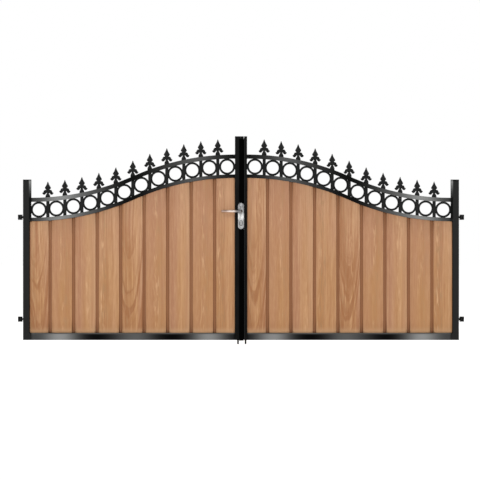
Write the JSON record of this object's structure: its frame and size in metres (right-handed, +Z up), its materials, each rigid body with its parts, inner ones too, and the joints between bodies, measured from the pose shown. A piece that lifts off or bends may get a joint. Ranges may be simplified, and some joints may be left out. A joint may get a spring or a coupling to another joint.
{
  "type": "double driveway gate",
  "caption": "Double swan-neck driveway gate: two hinged steel leaves with upright timber boards, ring-and-spear tops, a lever lock and drop bolts.",
  "frame": {"origin": "on the middle plane of the two leaves' meeting stiles, half way through the frame's depth, at the height of the drop bolts' tips", "axes": "+X to the right across the opening as seen from the front, +Y away from the viewer, the way both leaves open, +Z up"},
  "size_m": [3.054, 0.132, 1.4235],
  "materials": {
    "steel_frame": "black powder coat, satin",
    "steel_infill": "black powder coat, satin",
    "hinge_steel": "black zinc and paint",
    "timber": "oiled softwood boards, straight grain",
    "cap_plastic": "black moulded plastic",
    "strip_rubber": "black rubber",
    "stainless": "polished stainless steel",
    "zinc_steel": "bright zinc",
    "lock_brass": "drawn brass",
    "rod_steel": "black paint, worn where it slides"
  },
  "bodies": {
    "hinge_brackets": {"left_hinge_brackets": "hinge_steel", "right_hinge_brackets": "hinge_steel", "hinge_pins": "hinge_steel"},
    "left_leaf": {"left_hinge_stile": "steel_frame", "left_lock_stile": "steel_frame", "left_bottom_rail": "steel_frame", "left_mid_rail": "steel_frame", "left_top_rail": "steel_frame", "left_cross_rails": "steel_frame", "left_board_strap": "steel_frame", "left_bars": "steel_infill", "left_rings": "steel_infill", "left_finials": "steel_infill", "left_boards": "timber", "left_board_screws": "zinc_steel", "left_stile_caps": "cap_plastic", "left_eye_bolts": "hinge_steel", "left_hinge_sleeves": "hinge_steel", "left_bolt_guides": "rod_steel", "cover_strip": "strip_rubber", "lock_case": "zinc_steel", "lock_forend": "stainless", "forend_screws": "zinc_steel", "front_handle_plate": "stainless", "rear_handle_plate": "stainless", "handle_plate_bolts": "stainless", "cylinder_body": "stainless", "cylinder_screw": "zinc_steel", "latch_spring": "zinc_steel"},
    "right_leaf": {"right_hinge_stile": "steel_frame", "right_meeting_stile": "steel_frame", "right_bottom_rail": "steel_frame", "right_mid_rail": "steel_frame", "right_top_rail": "steel_frame", "right_cross_rails": "steel_frame", "right_board_strap": "steel_frame", "right_bars": "steel_infill", "right_rings": "steel_infill", "right_finials": "steel_infill", "right_boards": "timber", "right_board_screws": "zinc_steel", "right_stile_caps": "cap_plastic", "right_eye_bolts": "hinge_steel", "right_hinge_sleeves": "hinge_steel", "right_bolt_guides": "rod_steel", "keep_plate": "zinc_steel", "keep_screws": "zinc_steel", "gap_seal": "strip_rubber"},
    "lever_set": {"front_lever": "stainless", "rear_lever": "stainless", "spindle": "zinc_steel", "lock_follower": "lock_brass"},
    "latch": {"latch_bolt": "lock_brass"},
    "dead_bolt": {"deadbolt": "stainless"},
    "key_plug": {"cylinder_plug": "stainless"},
    "left_rod": {"left_drop_bolt": "rod_steel"},
    "right_rod": {"right_drop_bolt": "rod_steel"}
  },
  "joints": [
    {"name": "left_leaf_swing", "type": "hinge", "parent": "hinge_brackets", "child": "left_leaf", "pos_m": [-1.51, 0.011, 0.172], "axis": [0, 0, 1], "range_deg": [0, 90]},
    {"name": "right_leaf_swing", "type": "hinge", "parent": "hinge_brackets", "child": "right_leaf", "pos_m": [1.51, 0.011, 0.172], "axis": [0, 0, -1], "range_deg": [0, 90]},
    {"name": "lever_turn", "type": "hinge", "parent": "left_leaf", "child": "lever_set", "pos_m": [0, 0, 0.911], "axis": [0, -1, 0], "range_deg": [0, 40], "stiffness_Nm_per_rad": 2, "springref_deg": -28.65},
    {"name": "latch_slide", "type": "slide", "parent": "left_leaf", "child": "latch", "axis": [-1, 0, 0], "range_m": [0, 0.0102], "deforming": ["latch_spring"]},
    {"name": "key_turn", "type": "hinge", "parent": "left_leaf", "child": "key_plug", "pos_m": [0, 0, 0.839], "axis": [0, 1, 0], "range_deg": [0, 365]},
    {"name": "dead_bolt_slide", "type": "slide", "parent": "left_leaf", "child": "dead_bolt", "axis": [1, 0, 0], "range_m": [0, 0.014]},
    {"name": "left_drop_bolt_slide", "type": "slide", "parent": "left_leaf", "child": "left_rod", "axis": [0, 0, 1], "range_m": [0, 0.11]},
    {"name": "right_drop_bolt_slide", "type": "slide", "parent": "right_leaf", "child": "right_rod", "axis": [0, 0, 1], "range_m": [0, 0.11]}
  ],
  "couplings": [
    {"joint": "latch_slide", "follows": "lever_turn", "m_per_rad": 0.014324},
    {"joint": "key_turn", "follows": "dead_bolt_slide", "rad_per_m": 448.8}
  ]
}
